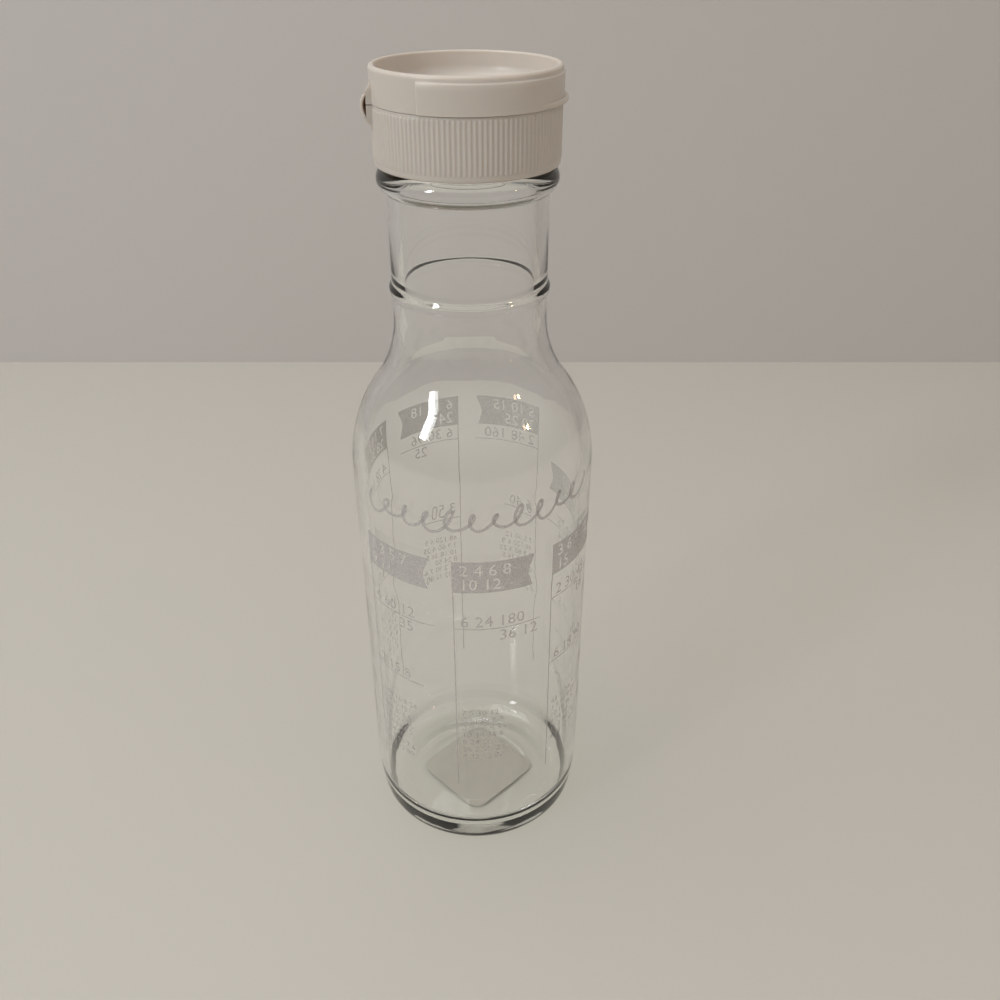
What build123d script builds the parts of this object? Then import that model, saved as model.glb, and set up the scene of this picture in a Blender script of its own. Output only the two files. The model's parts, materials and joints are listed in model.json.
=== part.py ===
from build123d import *

import math
import os

# A glass dressing bottle with a screw cap and a flip lid on a double film hinge.
# Millimetres. Z is up, the bottle stands on Z = 0 around the Z axis, and -Y is the side of the main print.
# The hinge strap is at -X and the thumb tab at +X.

# Glass: body, shoulder and neck
body_radius = 31.5
glass_wall = 2.7
heel_round = 5.5
heel_flare = 80.0
heel_height = 18.0
bearing_width = 1.4
push_up_side_run = 3.5
push_up_depth = 1.7
floor_height = 5.0
floor_corner_radius = 6.0
body_height = 119.0
shoulder_band_step = 0.3
shoulder_band_drop = 28.0
shoulder_band_blend = 6.0
shoulder_round = 38.0
neck_round = 28.0
neck_radius = 18.8
neck_wall = 2.9

# Glass: neck ring, transfer bead and finish
neck_ring_rise = 7.07
neck_ring_step = 0.65
neck_ring_half_height = 1.9
bead_rise = 32.87
bead_step = 2.2
bead_half_height = 2.8
bead_root_bevel = 0.6
finish_step = 0.6
finish_height = 10.6
lip_round = 0.8
lip_bevel = 0.7

# Paper label in the push-up
label_edge_gap = 1.9
label_corner_radius = 4.0
label_thickness = 0.15

# Sealing gasket between lip and deck
gasket_thickness = 0.6
gasket_lap = 0.7
gasket_side_clearance = 0.25

# Screw cap
thread_room = 1.45
skirt_wall = 1.4
skirt_height = 13.1
skirt_foot_bevel = 0.4
rib_count = 120
rib_depth = 0.25
rib_top_share = 0.3
rib_root_share = 0.3
plain_band_height = 1.3
rib_top_gap = 0.5
deck_thickness = 1.5
deck_recess = 0.6
deck_rim_width = 1.1
pour_hole_radius = 7.0
spout_edge_gap = 3.85
spout_wall = 1.3
spout_height = 1.1
spout_bevel = 0.35

# Flip lid
seam_gap = 0.1
lid_overhang = 0.1
lid_height = 7.6
lid_wall = 1.3
lid_floor_thickness = 1.4
lid_floor_lift = 0.6
lid_rim_round = 0.8
lid_rim_bevel = 0.35
dish_corner_radius = 2.6
panel_step = 0.35
panel_bevel = 0.25
panel_top_gap = 1.2
panel_half_gap_angle = 62.5
plug_clearance = 0.1
plug_wall = 0.9
plug_length = 2.1
plug_lead = 0.35
tab_reach = 0.9
tab_thickness = 1.25
tab_bevel = 0.45
tab_half_angle = 42.0

# Hinge strap and its film lines
strap_width = 14.0
strap_thickness = 0.6
strap_lower_drop = 2.3
strap_upper_lift = 1.7
strap_lower_out = 0.7
strap_upper_out = 0.6
strap_bow = 0.6
film_clearance = 0.06
pad_set_back = 0.15
hinge_pad_height = 1.0
hinge_pad_taper = 0.7

# One overrun for every cut, and the side of the largest cutting block
overrun = 1.0
cutter_reach = 60.0

# Places on the glass, worked out from the sizes above
band_radius = body_radius + shoulder_band_step
neck_bore_radius = neck_radius - neck_wall
shoulder_turn = math.acos(1 - (band_radius - neck_radius) / (shoulder_round + neck_round))
neck_start_z = body_height + (shoulder_round + neck_round) * math.sin(shoulder_turn)
neck_ring_z = neck_start_z + neck_ring_rise
bead_z = neck_start_z + bead_rise
finish_radius = neck_radius - finish_step
bead_radius = neck_radius + bead_step
bead_root = (neck_radius, bead_z - bead_half_height)
bead_top = (finish_radius, bead_z + bead_half_height)
lip_z = bead_top[1] + finish_height

# Places on the closure, which follow the finish of the glass
cap_bore_radius = finish_radius + thread_room
skirt_radius = cap_bore_radius + skirt_wall
gasket_radius = cap_bore_radius - gasket_side_clearance
gasket_inner_radius = neck_bore_radius - gasket_lap
deck_z = lip_z + gasket_thickness
deck_top_z = deck_z + deck_thickness
cap_top_z = deck_top_z + deck_recess
skirt_bottom_z = cap_top_z - skirt_height
lid_radius = skirt_radius + lid_overhang
lid_bottom_z = cap_top_z + seam_gap
lid_top_z = lid_bottom_z + lid_height
lid_under_z = lid_bottom_z + lid_floor_lift
dish_floor_z = lid_under_z + lid_floor_thickness
dish_radius = lid_radius - lid_wall
deck_recess_radius = skirt_radius - deck_rim_width
pour_hole_x = deck_recess_radius - spout_edge_gap - spout_wall - pour_hole_radius
plug_radius = pour_hole_radius - plug_clearance
lower_film = (-(skirt_radius + strap_lower_out), cap_top_z - strap_lower_drop)
upper_film = (-(lid_radius + strap_upper_out), lid_bottom_z + strap_upper_lift)
film_radius = strap_thickness / 2
groove_radius = film_radius + film_clearance


def revolved(outline):
    """Turns a closed line in the XZ plane about Z."""
    return revolve(make_face(Plane.XZ * outline), Axis.Z)


def cylinder(radius, bottom, top, x=0.0):
    """A round solid from one height to another."""
    return Pos(x, 0, bottom) * extrude(Circle(radius), amount=top - bottom)


def arc_pair(start, round_out, round_in, end_radius):
    """Two tangent arcs step in from one upright wall to another: where they meet, and where they end."""
    turn = math.acos(1 - (start[0] - end_radius) / (round_out + round_in))
    meet = (start[0] - round_out * (1 - math.cos(turn)), start[1] + round_out * math.sin(turn))
    end = (end_radius, start[1] + (round_out + round_in) * math.sin(turn))
    return meet, end


def heel_arcs():
    """Where the tight arc at the foot meets the long arc of the heel, and where it meets the ground."""
    flare_centre = body_radius - heel_flare
    gap = heel_flare - heel_round
    drop = heel_height - heel_round
    across = math.sqrt(gap**2 - drop**2)
    meet = (flare_centre + across * heel_flare / gap, heel_height - drop * heel_flare / gap)
    return meet, (flare_centre + across, 0)


def push_up_radius():
    """Where the raised middle of the bottom ends and its sloping side begins."""
    heel_foot = heel_arcs()[1]
    return heel_foot[0] - bearing_width - push_up_side_run


def body_outer():
    """The outside of the glass from the middle of the push-up to the lip."""
    heel_side = (body_radius, heel_height)
    heel_meet, heel_foot = heel_arcs()
    foot_inner = (heel_foot[0] - bearing_width, 0)
    push_up_edge = (push_up_radius(), push_up_depth)
    band_start = (body_radius, body_height - shoulder_band_drop)
    band_end = (band_radius, band_start[1] + shoulder_band_blend)
    shoulder = (band_radius, body_height)
    shoulder_meet, neck_start = arc_pair(shoulder, shoulder_round, neck_round, neck_radius)
    ring_low = (neck_radius, neck_ring_z - neck_ring_half_height)
    ring_mid = (neck_radius + neck_ring_step, neck_ring_z)
    ring_high = (neck_radius, neck_ring_z + neck_ring_half_height)
    lip_side = (finish_radius, lip_z - lip_round)
    lip_top = (finish_radius - lip_round, lip_z)
    up = (0, 1)
    return [
        Line((0, push_up_depth), push_up_edge),
        Line(push_up_edge, foot_inner),
        Line(foot_inner, heel_foot),
        TangentArc(heel_foot, heel_meet, tangent=(1, 0)),
        TangentArc(heel_side, heel_meet, tangent=(0, -1)),
        Line(heel_side, band_start),
        Spline(band_start, band_end, tangents=(up, up)),
        Line(band_end, shoulder),
        TangentArc(shoulder, shoulder_meet, tangent=up),
        TangentArc(neck_start, shoulder_meet, tangent=(0, -1)),
        Line(neck_start, ring_low),
        ThreePointArc(ring_low, ring_mid, ring_high),
        Line(ring_high, bead_root),
        ThreePointArc(bead_root, (bead_radius, bead_z), bead_top),
        Line(bead_top, lip_side),
        TangentArc(lip_side, lip_top, tangent=up),
    ]


def body_inner():
    """The inside of the glass from the lip down to the middle of the floor."""
    wall_radius = body_radius - glass_wall
    lip_in = (neck_bore_radius + lip_bevel, lip_z)
    lip_low = (neck_bore_radius, lip_z - lip_bevel)
    shoulder = (wall_radius, body_height)
    rounds = (shoulder_round - glass_wall, neck_round + glass_wall)
    shoulder_meet, neck_end = arc_pair(shoulder, *rounds, neck_bore_radius)
    wall_foot = (wall_radius, floor_height + floor_corner_radius)
    floor_edge = (wall_radius - floor_corner_radius, floor_height)
    return [
        Line((finish_radius - lip_round, lip_z), lip_in),
        Line(lip_in, lip_low),
        Line(lip_low, neck_end),
        TangentArc(neck_end, shoulder_meet, tangent=(0, -1)),
        TangentArc(shoulder, shoulder_meet, tangent=(0, 1)),
        Line(shoulder, wall_foot),
        TangentArc(wall_foot, floor_edge, tangent=(0, -1)),
        Line(floor_edge, (0, floor_height)),
        Line((0, floor_height), (0, push_up_depth)),
    ]


def make_glass_bottle():
    wall = make_face(Curve() + body_outer() + body_inner())
    wall = chamfer(wall.vertices().sort_by_distance(bead_root)[0], bead_root_bevel)
    return revolve(Plane.XZ * wall, Axis.Z)


def make_base_label():
    """A small square label with rounded corners, stuck under the raised middle of the bottom."""
    corner_reach = push_up_radius() - label_edge_gap
    side = (corner_reach + label_corner_radius * (math.sqrt(2) - 1)) * math.sqrt(2)
    sheet = Rot(0, 0, 45) * RectangleRounded(side, side, label_corner_radius)
    return Pos(0, 0, push_up_depth - label_thickness) * extrude(sheet, amount=label_thickness)


def make_sealing_gasket():
    hole = cylinder(gasket_inner_radius, lip_z - overrun, deck_z + overrun)
    return cylinder(gasket_radius, lip_z, deck_z) - hole


def skirt_ribs():
    """A ring of fine ribs, each a low flat-topped ridge, from the plain band up to just under the seam."""
    pitch = math.tau / rib_count
    flank_share = (1 - rib_top_share - rib_root_share) / 2
    steps = (0, rib_top_share, rib_top_share + flank_share, 1 - flank_share)
    tops = (rib_depth, rib_depth, 0, 0)
    points = []
    for rib in range(rib_count):
        for step, rise in zip(steps, tops):
            angle = (rib + step) * pitch
            radius = skirt_radius + rise
            points.append((radius * math.cos(angle), radius * math.sin(angle)))
    outline = make_face(Polyline(points, close=True))
    bottom = skirt_bottom_z + plain_band_height
    return Pos(0, 0, bottom) * extrude(outline, amount=cap_top_z - rib_top_gap - bottom)


def hinge_pad(film, direction):
    """The root that one end of the strap folds against: below the lower film line, above the upper one."""
    x, z = film
    inner = x + strap_width / 2
    end = z + direction * hinge_pad_height
    taper = end + direction * hinge_pad_taper
    front = x + pad_set_back
    side = [(inner, z), (front, z), (front, end), (front + hinge_pad_taper, taper), (inner, taper)]
    outline = make_face(Plane.XZ * Polyline(side, close=True))
    block = extrude(outline, amount=strap_width / 2, both=True)
    return block - film_roller(film, groove_radius)


def film_roller(film, radius):
    """A round bar along a film line, a little longer than the strap is wide."""
    bar = Plane.XZ * Pos(film[0], film[1]) * Circle(radius)
    return extrude(bar, amount=strap_width / 2 + overrun, both=True)


def cap_shell():
    """The turned form of the cap: a skirt with a bevelled foot, and a deck a little below its rim."""
    foot_z = skirt_bottom_z + skirt_foot_bevel
    foot_in = skirt_radius - skirt_foot_bevel
    return revolved(
        Curve()
        + [
            Line((cap_bore_radius, skirt_bottom_z), (foot_in, skirt_bottom_z)),
            Line((foot_in, skirt_bottom_z), (skirt_radius, foot_z)),
            Line((skirt_radius, foot_z), (skirt_radius, cap_top_z)),
            Line((skirt_radius, cap_top_z), (deck_recess_radius, cap_top_z)),
            Line((deck_recess_radius, cap_top_z), (deck_recess_radius, deck_top_z)),
            Line((deck_recess_radius, deck_top_z), (0, deck_top_z)),
            Line((0, deck_top_z), (0, deck_z)),
            Line((0, deck_z), (cap_bore_radius, deck_z)),
            Line((cap_bore_radius, deck_z), (cap_bore_radius, skirt_bottom_z)),
        ]
    )


def pour_spout():
    """The raised ring round the pour hole, with a bevelled top edge."""
    top = deck_top_z + spout_height
    ring = cylinder(pour_hole_radius + spout_wall, deck_z, top, pour_hole_x)
    return chamfer(ring.edges().group_by(Axis.Z)[-1], spout_bevel)


def make_screw_cap():
    skirt = skirt_ribs() + hinge_pad(lower_film, -1)
    cap = cap_shell() + (skirt - cylinder(cap_bore_radius, skirt_bottom_z, deck_z)) + pour_spout()
    return cap - cylinder(pour_hole_radius, deck_z - overrun, cap_top_z + spout_height + overrun, pour_hole_x)


def lid_shell():
    """The turned form of the lid: a wall rounded at its rim, a dished top and a low skirt under its floor."""
    rim_in = dish_radius + lid_rim_bevel
    rim_in_z = lid_top_z - lid_rim_bevel
    rim_out = lid_radius - lid_rim_round
    rim_z = lid_top_z - lid_rim_round
    corner_z = dish_floor_z + dish_corner_radius
    corner_in = dish_radius - dish_corner_radius
    return revolved(
        Curve()
        + [
            Line((0, lid_under_z), (dish_radius, lid_under_z)),
            Line((dish_radius, lid_under_z), (dish_radius, lid_bottom_z)),
            Line((dish_radius, lid_bottom_z), (lid_radius, lid_bottom_z)),
            Line((lid_radius, lid_bottom_z), (lid_radius, rim_z)),
            TangentArc((lid_radius, rim_z), (rim_out, lid_top_z), tangent=(0, 1)),
            Line((rim_out, lid_top_z), (rim_in, lid_top_z)),
            Line((rim_in, lid_top_z), (dish_radius, rim_in_z)),
            Line((dish_radius, rim_in_z), (dish_radius, corner_z)),
            TangentArc((dish_radius, corner_z), (corner_in, dish_floor_z), tangent=(0, -1)),
            Line((corner_in, dish_floor_z), (0, dish_floor_z)),
            Line((0, dish_floor_z), (0, lid_under_z)),
        ]
    )


def lid_panel():
    """The raised panel that runs round the lid from one side of the hinge to the other."""
    top = lid_top_z - panel_top_gap
    ring = cylinder(lid_radius + panel_step, lid_bottom_z, top)
    ring -= cylinder(lid_radius - lid_wall / 2, lid_bottom_z - overrun, top + overrun)
    half = math.radians(panel_half_gap_angle)
    far = (-cutter_reach * math.cos(half), cutter_reach * math.sin(half))
    near = (far[0], -far[1])
    corners = [(0, 0), far, (-cutter_reach, far[1]), (-cutter_reach, near[1]), near]
    wedge = make_face(Polyline(corners, close=True))
    panel = ring - Pos(0, 0, lid_bottom_z - overrun) * extrude(wedge, amount=lid_height + overrun)
    outside = panel.faces().filter_by(GeomType.CYLINDER).sort_by(SortBy.AREA)[-1]
    return chamfer(outside.edges() - panel.edges().group_by(Axis.Z)[0], panel_bevel)


def thumb_tab():
    """A thin crescent ledge opposite the hinge, flush with the panel at both ends."""
    panel_radius = lid_radius + panel_step
    tip = panel_radius + tab_reach
    half = math.radians(tab_half_angle)
    centre = (tip**2 - panel_radius**2) / (2 * (tip - panel_radius * math.cos(half)))
    top = lid_bottom_z + tab_thickness
    ledge = cylinder(tip - centre, lid_bottom_z, top, centre)
    ledge = chamfer(ledge.edges().filter_by(GeomType.CIRCLE), tab_bevel)
    return ledge - cylinder(lid_radius - lid_wall / 2, lid_bottom_z - overrun, top + overrun)


def pour_plug():
    """The hollow plug under the lid that closes the pour hole, with a lead at its end."""
    end = lid_under_z - plug_length
    plug = cylinder(plug_radius, end, dish_floor_z - lid_floor_thickness / 2, pour_hole_x)
    plug = chamfer(plug.edges().group_by(Axis.Z)[0], plug_lead)
    return plug - cylinder(plug_radius - plug_wall, end - overrun, lid_under_z, pour_hole_x)


def make_flip_lid():
    lid = lid_shell() + lid_panel() + thumb_tab()
    lid += hinge_pad(upper_film, 1) - cylinder(lid_radius - lid_wall / 2, lid_bottom_z, lid_top_z + overrun)
    return lid + pour_plug()


def make_hinge_strap():
    """The bowed strap. Its rounded ends lie on the two film lines."""
    middle = ((lower_film[0] + upper_film[0]) / 2 - strap_bow, (lower_film[1] + upper_film[1]) / 2)
    arc = ThreePointArc(lower_film, middle, upper_film)
    return extrude(Plane.XZ * SlotArc(arc, strap_thickness), amount=strap_width / 2, both=True)


def main():
    os.makedirs("parts", exist_ok=True)
    nodes = {
        "glass_bottle": make_glass_bottle(),
        "base_label": make_base_label(),
        "sealing_gasket": make_sealing_gasket(),
        "screw_cap": make_screw_cap(),
        "hinge_strap": make_hinge_strap(),
        "flip_lid": make_flip_lid(),
    }
    for name, solid in nodes.items():
        export_step(solid, os.path.join("parts", name + ".step"))


main()
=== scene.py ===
import json
import math

import bmesh
import bpy
from mathutils import Matrix, Vector


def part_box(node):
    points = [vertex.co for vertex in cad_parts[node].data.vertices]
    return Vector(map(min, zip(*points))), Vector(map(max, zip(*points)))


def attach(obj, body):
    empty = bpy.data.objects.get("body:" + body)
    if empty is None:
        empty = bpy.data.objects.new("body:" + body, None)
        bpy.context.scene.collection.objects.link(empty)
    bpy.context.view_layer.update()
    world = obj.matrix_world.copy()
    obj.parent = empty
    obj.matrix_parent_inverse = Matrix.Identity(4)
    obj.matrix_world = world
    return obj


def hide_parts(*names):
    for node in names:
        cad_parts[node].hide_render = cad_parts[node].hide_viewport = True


# The looks of a glass dressing bottle with a ribbed screw cap and a flip lid.
# Metres. Z is up, the main print faces -Y, the hinge is at -X and the thumb tab at +X.
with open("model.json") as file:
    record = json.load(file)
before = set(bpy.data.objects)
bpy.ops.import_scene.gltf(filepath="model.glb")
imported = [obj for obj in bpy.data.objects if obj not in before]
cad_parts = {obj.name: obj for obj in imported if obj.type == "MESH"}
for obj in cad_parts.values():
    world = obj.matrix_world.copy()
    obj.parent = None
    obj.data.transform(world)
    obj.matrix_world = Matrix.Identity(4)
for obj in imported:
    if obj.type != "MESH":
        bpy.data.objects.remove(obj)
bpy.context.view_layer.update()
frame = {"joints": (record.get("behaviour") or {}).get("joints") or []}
mm = 0.001

# Places that the frame gives
glass_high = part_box("glass_bottle")[1]
cap_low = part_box("screw_cap")[0]
lid_low, lid_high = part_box("flip_lid")
gasket_low, gasket_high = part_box("sealing_gasket")
label_low, label_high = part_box("base_label")
joint_places = {joint["name"]: joint for joint in frame["joints"]}
lower_film = Vector(joint_places["strap_fold"]["pos_m"])
upper_film = Vector(joint_places["lid_open"]["pos_m"])

# Glass, with room in the band under the shoulder for the ink that stands on it
band_radius = glass_high.x
lip_z = glass_high.z
shoulder_band_step = 0.3 * mm
ink_room = 0.08 * mm
body_radius = band_radius - shoulder_band_step
glass_wall = 2.7 * mm
heel_round = 5.5 * mm
heel_flare = 80 * mm
heel_height = 18 * mm
bearing_width = 1.4 * mm
push_up_side_run = 10 * mm
push_up_ease = 0.15
push_up_depth = label_high.z
floor_height = 5 * mm
floor_corner_radius = 8 * mm
body_height = 119 * mm
shoulder_band_drop = 28 * mm
shoulder_band_blend = 6 * mm
shoulder_round = 38 * mm
neck_round = 28 * mm
neck_radius = 18.8 * mm
neck_wall = 2.9 * mm
neck_ring_rise = 7.07 * mm
neck_ring_step = 0.65 * mm
neck_ring_half_height = 1.9 * mm
neck_ring_fullness = 1.15
bead_rise = 32.87 * mm
bead_step = 2.2 * mm
bead_half_height = 2.8 * mm
bead_root_bevel = 0.6 * mm
finish_step = 0.6 * mm
lip_round = 0.8 * mm

# Gasket, and the label that bends with the raised bottom
gasket_lap = 0.7 * mm
gasket_bevel = 0.12 * mm
label_trim = 1.1 * mm
label_corner_radius = 4 * mm
label_glue = 0.02 * mm
label_cut = 1 * mm

# Thread on the finish and in the cap
thread_pitch = 4.2333 * mm
thread_turns = 1.2
thread_fade_turns = 0.12
thread_ridge_fullness = 1.5
glass_thread_depth = 1.15 * mm
glass_thread_half_width = 1.05 * mm
glass_thread_drop = 8.4 * mm
cap_thread_depth = 1.1 * mm
cap_thread_half_width = 0.8 * mm
cap_thread_lag = 2.1 * mm

# Screw cap
thread_room = 1.45 * mm
skirt_wall = 1.4 * mm
skirt_foot_round = 0.5 * mm
rib_count = 120
rib_depth = 0.18 * mm
rib_top_share = 0.22
rib_root_share = 0.22
rib_end_slope = 0.35 * mm
plain_band_height = 1.3 * mm
rib_top_gap = 0.5 * mm
skirt_top_round = 0.12 * mm
deck_thickness = 1.5 * mm
deck_recess = 0.6 * mm
deck_rim_width = 1.1 * mm
pour_hole_radius = 7 * mm
spout_edge_gap = 3.85 * mm
spout_wall = 1.3 * mm
spout_height = 1.1 * mm
spout_round = 0.4 * mm

# Flip lid
lid_overhang = 0.1 * mm
lid_wall = 1.3 * mm
lid_floor_lift = 0.6 * mm
lid_floor_thickness = 1.4 * mm
lid_rim_round = 0.8 * mm
lid_rim_inner_round = 0.45 * mm
lid_foot_round = 0.1 * mm
dish_corner_radius = 2.6 * mm
panel_step = 0.35 * mm
panel_top_gap = 1.2 * mm
panel_edge_round = 0.4 * mm
panel_half_gap_angle = math.radians(62.5)
plug_clearance = 0.1 * mm
plug_wall = 0.9 * mm
plug_length = 2.1 * mm
plug_lead = 0.35 * mm
plug_lead_share = 0.3
tab_reach = 0.9 * mm
tab_thickness = 1.25 * mm
tab_round = 0.5 * mm
tab_half_angle = math.radians(42)

# Hinge strap and the pads that it folds against
strap_width = 14 * mm
strap_thickness = 0.6 * mm
strap_bow = 0.6 * mm
strap_edge_round = 0.15 * mm
pad_set_back = 0.15 * mm
strap_clearance = 0.07 * mm
pad_height = 1.0 * mm
pad_taper = 0.7 * mm

# Print on the body: seven columns, each with a line, a flag, filling lines and rows of small numbers.
# Angles are degrees round the body, from the middle of the front.
ink_gap = 0.01 * mm
ink_thickness = 0.03 * mm
ink_step = 1.2 * mm
column_count = 7
first_column_angle = -58
column_turn = 49.6
column_line_width = 0.35 * mm
column_foot_z = 27 * mm
flag_length = 20.5 * mm
flag_height = 9.5 * mm
flag_wave = 0.9 * mm
flag_wave_turns = 0.9
flag_wave_fade = 0.35
flag_text_inset = 1.8 * mm
low_flag_z = 96 * mm
high_flag_z = 112 * mm
fill_line_width = 0.3 * mm
fill_digit_height = 3.4 * mm
fill_digit_inset = 1.6 * mm
fill_digit_lift = 0.9 * mm
fill_digit_drop = 3.9 * mm
flag_row_height = 3.3 * mm
small_digit_height = 1.9 * mm
small_row_drop = 2.75 * mm
small_row_inset = 1.4 * mm
digit_share_of_font = 0.7
flag_cuts = [height * mm for height in range(85, 126)]
cut_half_turns = 1.7

# The flourish: a row of loops whose height, width and level swing slowly, each at its own beat
stroke_width = 0.85 * mm
stroke_lift = 0.015 * mm
flourish_z = 118.5 * mm
flourish_start = -52
flourish_end = 63
flourish_loops = 11
flourish_points = 520
loop_height = 2.5 * mm
loop_height_swing = 0.95 * mm
loop_height_beats = (0.43, 0.19)
loop_height_phase = 0.8
loop_width = 1.85
loop_width_swing = 0.3
loop_width_beat = 0.31
loop_slant = 0.35
flourish_drift = 1.6 * mm
flourish_drift_turn = 2.6
flourish_drift_phase = 4.0

# Levels and radii worked out from the sizes above
neck_bore_radius = neck_radius - neck_wall
finish_radius = neck_radius - finish_step
bead_radius = neck_radius + bead_step
shoulder_turn = math.acos(1 - (band_radius - neck_radius) / (shoulder_round + neck_round))
neck_start_z = body_height + (shoulder_round + neck_round) * math.sin(shoulder_turn)
neck_ring_z = neck_start_z + neck_ring_rise
bead_z = neck_start_z + bead_rise
cap_bore_radius = finish_radius + thread_room
skirt_radius = cap_bore_radius + skirt_wall
deck_z = gasket_high.z
deck_top_z = deck_z + deck_thickness
cap_top_z = deck_top_z + deck_recess
deck_recess_radius = skirt_radius - deck_rim_width
pour_hole_x = deck_recess_radius - spout_edge_gap - spout_wall - pour_hole_radius
lid_radius = skirt_radius + lid_overhang
lid_bottom_z = lid_low.z + plug_length - lid_floor_lift
lid_top_z = lid_high.z
lid_under_z = lid_bottom_z + lid_floor_lift
dish_floor_z = lid_under_z + lid_floor_thickness
dish_radius = lid_radius - lid_wall
panel_top_z = lid_top_z - panel_top_gap

# How finely things are cut: all round first, then along their outlines
sector_count = 8
glass_steps = 256
skirt_steps = 8 * rib_count
lid_steps = 720
gasket_steps = 192
small_steps = 96
heel_steps = 12
push_up_steps = 20
body_steps = 40
shoulder_steps = 28
neck_ring_steps = 24
bead_steps = 28
bead_root_steps = 6
neck_steps = 16
thread_wall_steps = 44
inner_wall_steps = 24
floor_corner_steps = 12
round_steps = 6
edge_steps = 3
small_round_steps = 4
dish_steps = 14
push_up_flat_steps = 4
floor_flat_steps = 6
dish_flat_steps = 8
strap_steps = 18
strap_end_steps = 8
flag_end_steps = 12
label_corner_steps = 8

# Distances that count as the same place, and the height over which a sharp step is drawn
merge_distance = 0.0001 * mm
level_tolerance = 0.001 * mm
wall_tolerance = 0.01 * mm
hair = 0.002 * mm

# Edges sharper than this many degrees stay sharp
plastic_sharp_angle = 35
glass_sharp_angle = 60

# Camera, as fitted to the photographed bottle's outline
camera_sensor_width = 36
camera_focal_length = 34.974
camera_place = (0.00732, -0.2278, 0.24402)
camera_tilt = math.radians(58.45)
camera_clip_start = 0.01

# Stage: a floor and a back wall
stage_drop = 0.02 * mm
stage_back = 334 * mm
stage_front = -1.5
stage_half_width = 1.5
stage_wall_height = 1.6

# Light: where the lamps point, and the room's light from the horizon up to where it is full
lamp_aim = (0, 0, 0.1)
room_colour = (1.0, 0.97, 0.93, 1)
room_low_strength = 0.2
room_high_strength = 0.68
room_full_height = 0.6


def smooth(share):
    """0 to 1 with level ends."""
    share = min(max(share, 0.0), 1.0)
    return share * share * (3 - 2 * share)


def arc(centre, radius, start, end, steps):
    """Points on an arc in the plane of radius and height, angles in degrees, without its first point."""
    points = []
    for step in range(1, steps + 1):
        angle = math.radians(start + (end - start) * step / steps)
        points.append((centre[0] + radius * math.cos(angle), centre[1] + radius * math.sin(angle)))
    return points


def run(start, end, steps):
    """Points on a straight line, without its first point."""
    shares = [step / steps for step in range(1, steps + 1)]
    return [(start[0] + (end[0] - start[0]) * s, start[1] + (end[1] - start[1]) * s) for s in shares]


def linked(verts, kind):
    """The edges or faces at some vertices, each once and always in the same order."""
    return list(dict.fromkeys(part for v in verts for part in getattr(v, kind)))


def spin_outline(bm, outline, steps, x=0.0, closed=False):
    """Adds the surface that a line of (radius, height) points makes when it turns about an upright axis.
    A sector is spun first and then the sector itself, which is far quicker than one long spin."""
    verts = [bm.verts.new((x + radius, 0, height)) for radius, height in outline]
    ends = verts[1:] + verts[:1] if closed else verts[1:]
    edges = [bm.edges.new(pair) for pair in zip(verts, ends)]
    sector = math.tau / sector_count
    about = {"cent": (x, 0, 0), "axis": (0, 0, 1)}
    old = set(bm.verts[:]) - set(verts)
    bmesh.ops.spin(bm, geom=verts + edges, angle=sector, steps=steps // sector_count, **about)
    new = [v for v in bm.verts if v not in old]
    bmesh.ops.spin(
        bm,
        geom=new + linked(new, "link_edges") + linked(new, "link_faces"),
        angle=math.tau - sector,
        steps=sector_count - 1,
        use_duplicate=True,
        **about,
    )
    bmesh.ops.remove_doubles(bm, verts=bm.verts, dist=merge_distance)


def fill_level(bm, height):
    """Closes a flat face between the open loops that lie at one height."""
    rims = [e for e in bm.edges if e.is_boundary]
    loops = [e for e in rims if all(abs(v.co.z - height) < level_tolerance for v in e.verts)]
    bmesh.ops.triangle_fill(bm, edges=loops, use_beauty=True)


def finished(name, bm, body, node, material, sharp_angle=plastic_sharp_angle):
    """Makes the piece, gives it its finish, and puts it on its body in place of its CAD node."""
    bmesh.ops.recalc_face_normals(bm, faces=bm.faces)
    mesh = bpy.data.meshes.new(name)
    bm.to_mesh(mesh)
    bm.free()
    mesh.polygons.foreach_set("use_smooth", [True] * len(mesh.polygons))
    mesh.set_sharp_from_angle(angle=math.radians(sharp_angle))
    piece = bpy.data.objects.new(name, mesh)
    bpy.context.scene.collection.objects.link(piece)
    mesh.materials.append(material)
    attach(piece, body)
    if node:
        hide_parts(node)
    return piece


# Glass bottle


def arc_pair_angle(step_in, rounds):
    """The turn in degrees of two tangent arcs that step in from one upright wall to another."""
    return math.degrees(math.acos(1 - step_in / rounds))


def shoulder_outline(start_radius, start_z, round_out, round_in, end_radius):
    """The shoulder from the wall below it to the neck: an arc that turns in and one that turns up."""
    turn = arc_pair_angle(start_radius - end_radius, round_out + round_in)
    end_z = start_z + (round_out + round_in) * math.sin(math.radians(turn))
    first = arc((start_radius - round_out, start_z), round_out, 0, turn, shoulder_steps)
    second = arc((end_radius + round_in, end_z), round_in, 180 + turn, 180, shoulder_steps)
    return first + second


def heel_outline():
    """From the bearing ring's outer edge round the tight heel and up the long flare to the body."""
    flare_centre = (body_radius - heel_flare, heel_height)
    gap = heel_flare - heel_round
    drop = heel_height - heel_round
    across = math.sqrt(gap**2 - drop**2)
    foot = (flare_centre[0] + across, 0)
    turn = math.degrees(math.asin(drop / gap))
    tight = arc((foot[0], heel_round), heel_round, -90, -turn, heel_steps)
    flare = arc(flare_centre, heel_flare, -turn, 0, heel_steps)
    return foot, tight + flare


def band_radius_at(height):
    """The body is a little wider in a band under the shoulder, and blends into it."""
    start = body_height - shoulder_band_drop
    step_out = shoulder_band_step - ink_room
    return body_radius + step_out * smooth((height - start) / shoulder_band_blend)


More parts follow.
